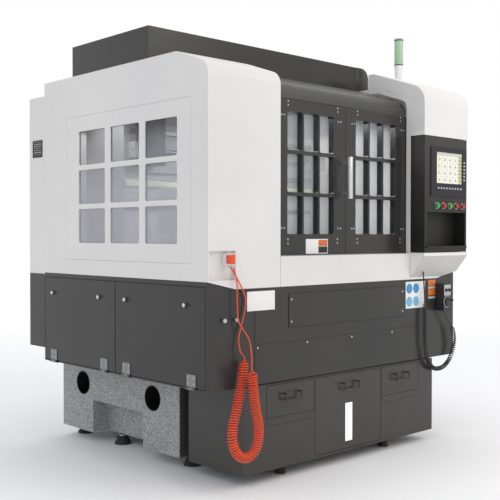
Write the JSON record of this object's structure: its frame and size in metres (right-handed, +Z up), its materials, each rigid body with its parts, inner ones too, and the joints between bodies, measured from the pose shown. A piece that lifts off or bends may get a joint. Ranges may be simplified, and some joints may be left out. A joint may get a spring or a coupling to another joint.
{
  "type": "cnc machining center",
  "caption": "Enclosed gantry machining center with sliding window doors, moving table, spindle head, console, coolant tank, chip drawers and a curly air hose.",
  "frame": {"origin": "on the floor, below the middle of the machine's box without its hoses", "axes": "+X to the machine's right, +Y from its front to its back, +Z up"},
  "size_m": [1.816, 1.6108, 2.229],
  "materials": {
    "stone": "speckled mineral casting",
    "white_paint": "fine texture powder coat",
    "dark_paint": "fine texture powder coat",
    "roof_paint": "fine texture powder coat",
    "steel": "ground steel",
    "chrome": "polished",
    "iron": "machined casting",
    "alu": "anodised",
    "motor": "satin paint",
    "rubber": "matt",
    "glass": "clear",
    "level": "clear level window",
    "bezel": "matt",
    "screen": "lit screen",
    "green": "gloss",
    "red": "gloss",
    "lamp_white": "gloss",
    "lamp_green": "translucent",
    "pendant": "matt",
    "orange_hose": "gloss hose",
    "fitting": "nickelled"
  },
  "bodies": {
    "machine": {"granite_base": "stone", "leveling_feet": "rubber", "lower_housing": "dark_paint", "left_cabinet": "dark_paint", "right_cabinet": "dark_paint", "hinge_bases": "steel", "front_panel": "dark_paint", "access_cover": "dark_paint", "front_apron": "white_paint", "door_track": "motor", "left_cover": "white_paint", "right_cover": "white_paint", "window_frame": "white_paint", "window_glass": "glass", "hose_fittings": "fitting", "roof_hood": "dark_paint", "roof_box": "roof_paint", "rear_cabinet": "white_paint", "rear_cabinet_base": "dark_paint", "console_hood": "white_paint", "control_box": "dark_paint", "display_bezel": "bezel", "display_screen": "screen", "lamp_base": "lamp_white", "lamp_lens": "lamp_green", "handwheel_pendant": "pendant", "gantry_portal": "stone", "guide_rails": "steel", "axis_motors": "motor", "chip_tray": "steel", "air_hose": "orange_hose", "pendant_cord": "rubber"},
    "left_door_leaf": {"left_door": "dark_paint", "left_door_glass": "glass", "door_handle": "alu"},
    "right_door_leaf": {"right_door": "dark_paint", "right_door_glass": "glass"},
    "front_flap": {"front_service_door": "dark_paint", "front_door_fittings": "steel"},
    "rear_flap": {"rear_service_door": "dark_paint", "rear_door_fittings": "steel"},
    "tank": {"coolant_tank": "dark_paint", "level_glass": "level"},
    "left_drawer": {"left_chip_drawer": "dark_paint"},
    "right_drawer": {"right_chip_drawer": "dark_paint"},
    "table": {"work_table": "iron"},
    "saddle": {"x_saddle": "iron"},
    "head": {"z_head": "alu", "spindle_housing": "motor"},
    "spindle": {"spindle_rotor": "steel"},
    "x_drive_screw": {"x_screw": "steel"},
    "y_drive_screw": {"y_screw": "steel"},
    "z_drive_screw": {"z_screw": "steel"},
    "power_on": {"power_on_button": "green"},
    "power_off": {"power_off_button": "red"},
    "start": {"start_button": "green"},
    "stop": {"stop_button": "red"},
    "reset": {"reset_button": "red"},
    "dial": {"handwheel_dial": "alu"}
  },
  "joints": [
    {"name": "left_door_slide", "type": "slide", "parent": "machine", "child": "left_door_leaf", "axis": [-1, 0, 0], "range_m": [0, 0.36]},
    {"name": "right_door_slide", "type": "slide", "parent": "machine", "child": "right_door_leaf", "axis": [1, 0, 0], "range_m": [0, 0.36]},
    {"name": "front_flap_hinge", "type": "hinge", "parent": "machine", "child": "front_flap", "pos_m": [-0.8975, -0.3485, 0.454], "axis": [0, -1, 0], "range_deg": [0, 110]},
    {"name": "rear_flap_hinge", "type": "hinge", "parent": "machine", "child": "rear_flap", "pos_m": [-0.8975, 0.317, 0.454], "axis": [0, -1, 0], "range_deg": [0, 110]},
    {"name": "tank_slide", "type": "slide", "parent": "machine", "child": "tank", "axis": [0, -1, 0], "range_m": [0, 0.3]},
    {"name": "left_drawer_slide", "type": "slide", "parent": "machine", "child": "left_drawer", "axis": [0, -1, 0], "range_m": [0, 0.28]},
    {"name": "right_drawer_slide", "type": "slide", "parent": "machine", "child": "right_drawer", "axis": [0, -1, 0], "range_m": [0, 0.28]},
    {"name": "y_axis", "type": "slide", "parent": "machine", "child": "table", "axis": [0, 1, 0], "range_m": [-0.1, 0.2]},
    {"name": "x_axis", "type": "slide", "parent": "machine", "child": "saddle", "axis": [1, 0, 0], "range_m": [-0.25, 0.25]},
    {"name": "z_axis", "type": "slide", "parent": "saddle", "child": "head", "axis": [0, 0, 1], "range_m": [-0.11, 0.04]},
    {"name": "spindle_spin", "type": "hinge", "parent": "head", "child": "spindle", "pos_m": [0.008, -0.033, 1.2], "axis": [0, 0, 1], "continuous": true},
    {"name": "x_screw_spin", "type": "hinge", "parent": "machine", "child": "x_drive_screw", "pos_m": [0.008, 0.161, 1.55], "axis": [1, 0, 0], "continuous": true},
    {"name": "y_screw_spin", "type": "hinge", "parent": "machine", "child": "y_drive_screw", "pos_m": [0.008, 0.167, 0.781], "axis": [0, 1, 0], "continuous": true},
    {"name": "z_screw_spin", "type": "hinge", "parent": "saddle", "child": "z_drive_screw", "pos_m": [0.008, 0.076, 1.51], "axis": [0, 0, 1], "continuous": true},
    {"name": "power_on_press", "type": "slide", "parent": "machine", "child": "power_on", "axis": [0, 1, 0], "range_m": [0, 0.003], "stiffness_N_per_m": 400},
    {"name": "power_off_press", "type": "slide", "parent": "machine", "child": "power_off", "axis": [0, 1, 0], "range_m": [0, 0.003], "stiffness_N_per_m": 400},
    {"name": "start_press", "type": "slide", "parent": "machine", "child": "start", "axis": [0, 1, 0], "range_m": [0, 0.003], "stiffness_N_per_m": 400},
    {"name": "stop_press", "type": "slide", "parent": "machine", "child": "stop", "axis": [0, 1, 0], "range_m": [0, 0.003], "stiffness_N_per_m": 400},
    {"name": "reset_press", "type": "slide", "parent": "machine", "child": "reset", "axis": [0, 1, 0], "range_m": [0, 0.003], "stiffness_N_per_m": 400},
    {"name": "dial_turn", "type": "hinge", "parent": "machine", "child": "dial", "pos_m": [0.77, -0.758, 0.75267], "axis": [0, -1, 0], "continuous": true}
  ],
  "couplings": [
    {"joint": "right_door_slide", "follows": "left_door_slide", "ratio": 1},
    {"joint": "x_screw_spin", "follows": "x_axis", "rad_per_m": 314.16},
    {"joint": "y_screw_spin", "follows": "y_axis", "rad_per_m": 314.16},
    {"joint": "z_screw_spin", "follows": "z_axis", "rad_per_m": 314.16}
  ]
}
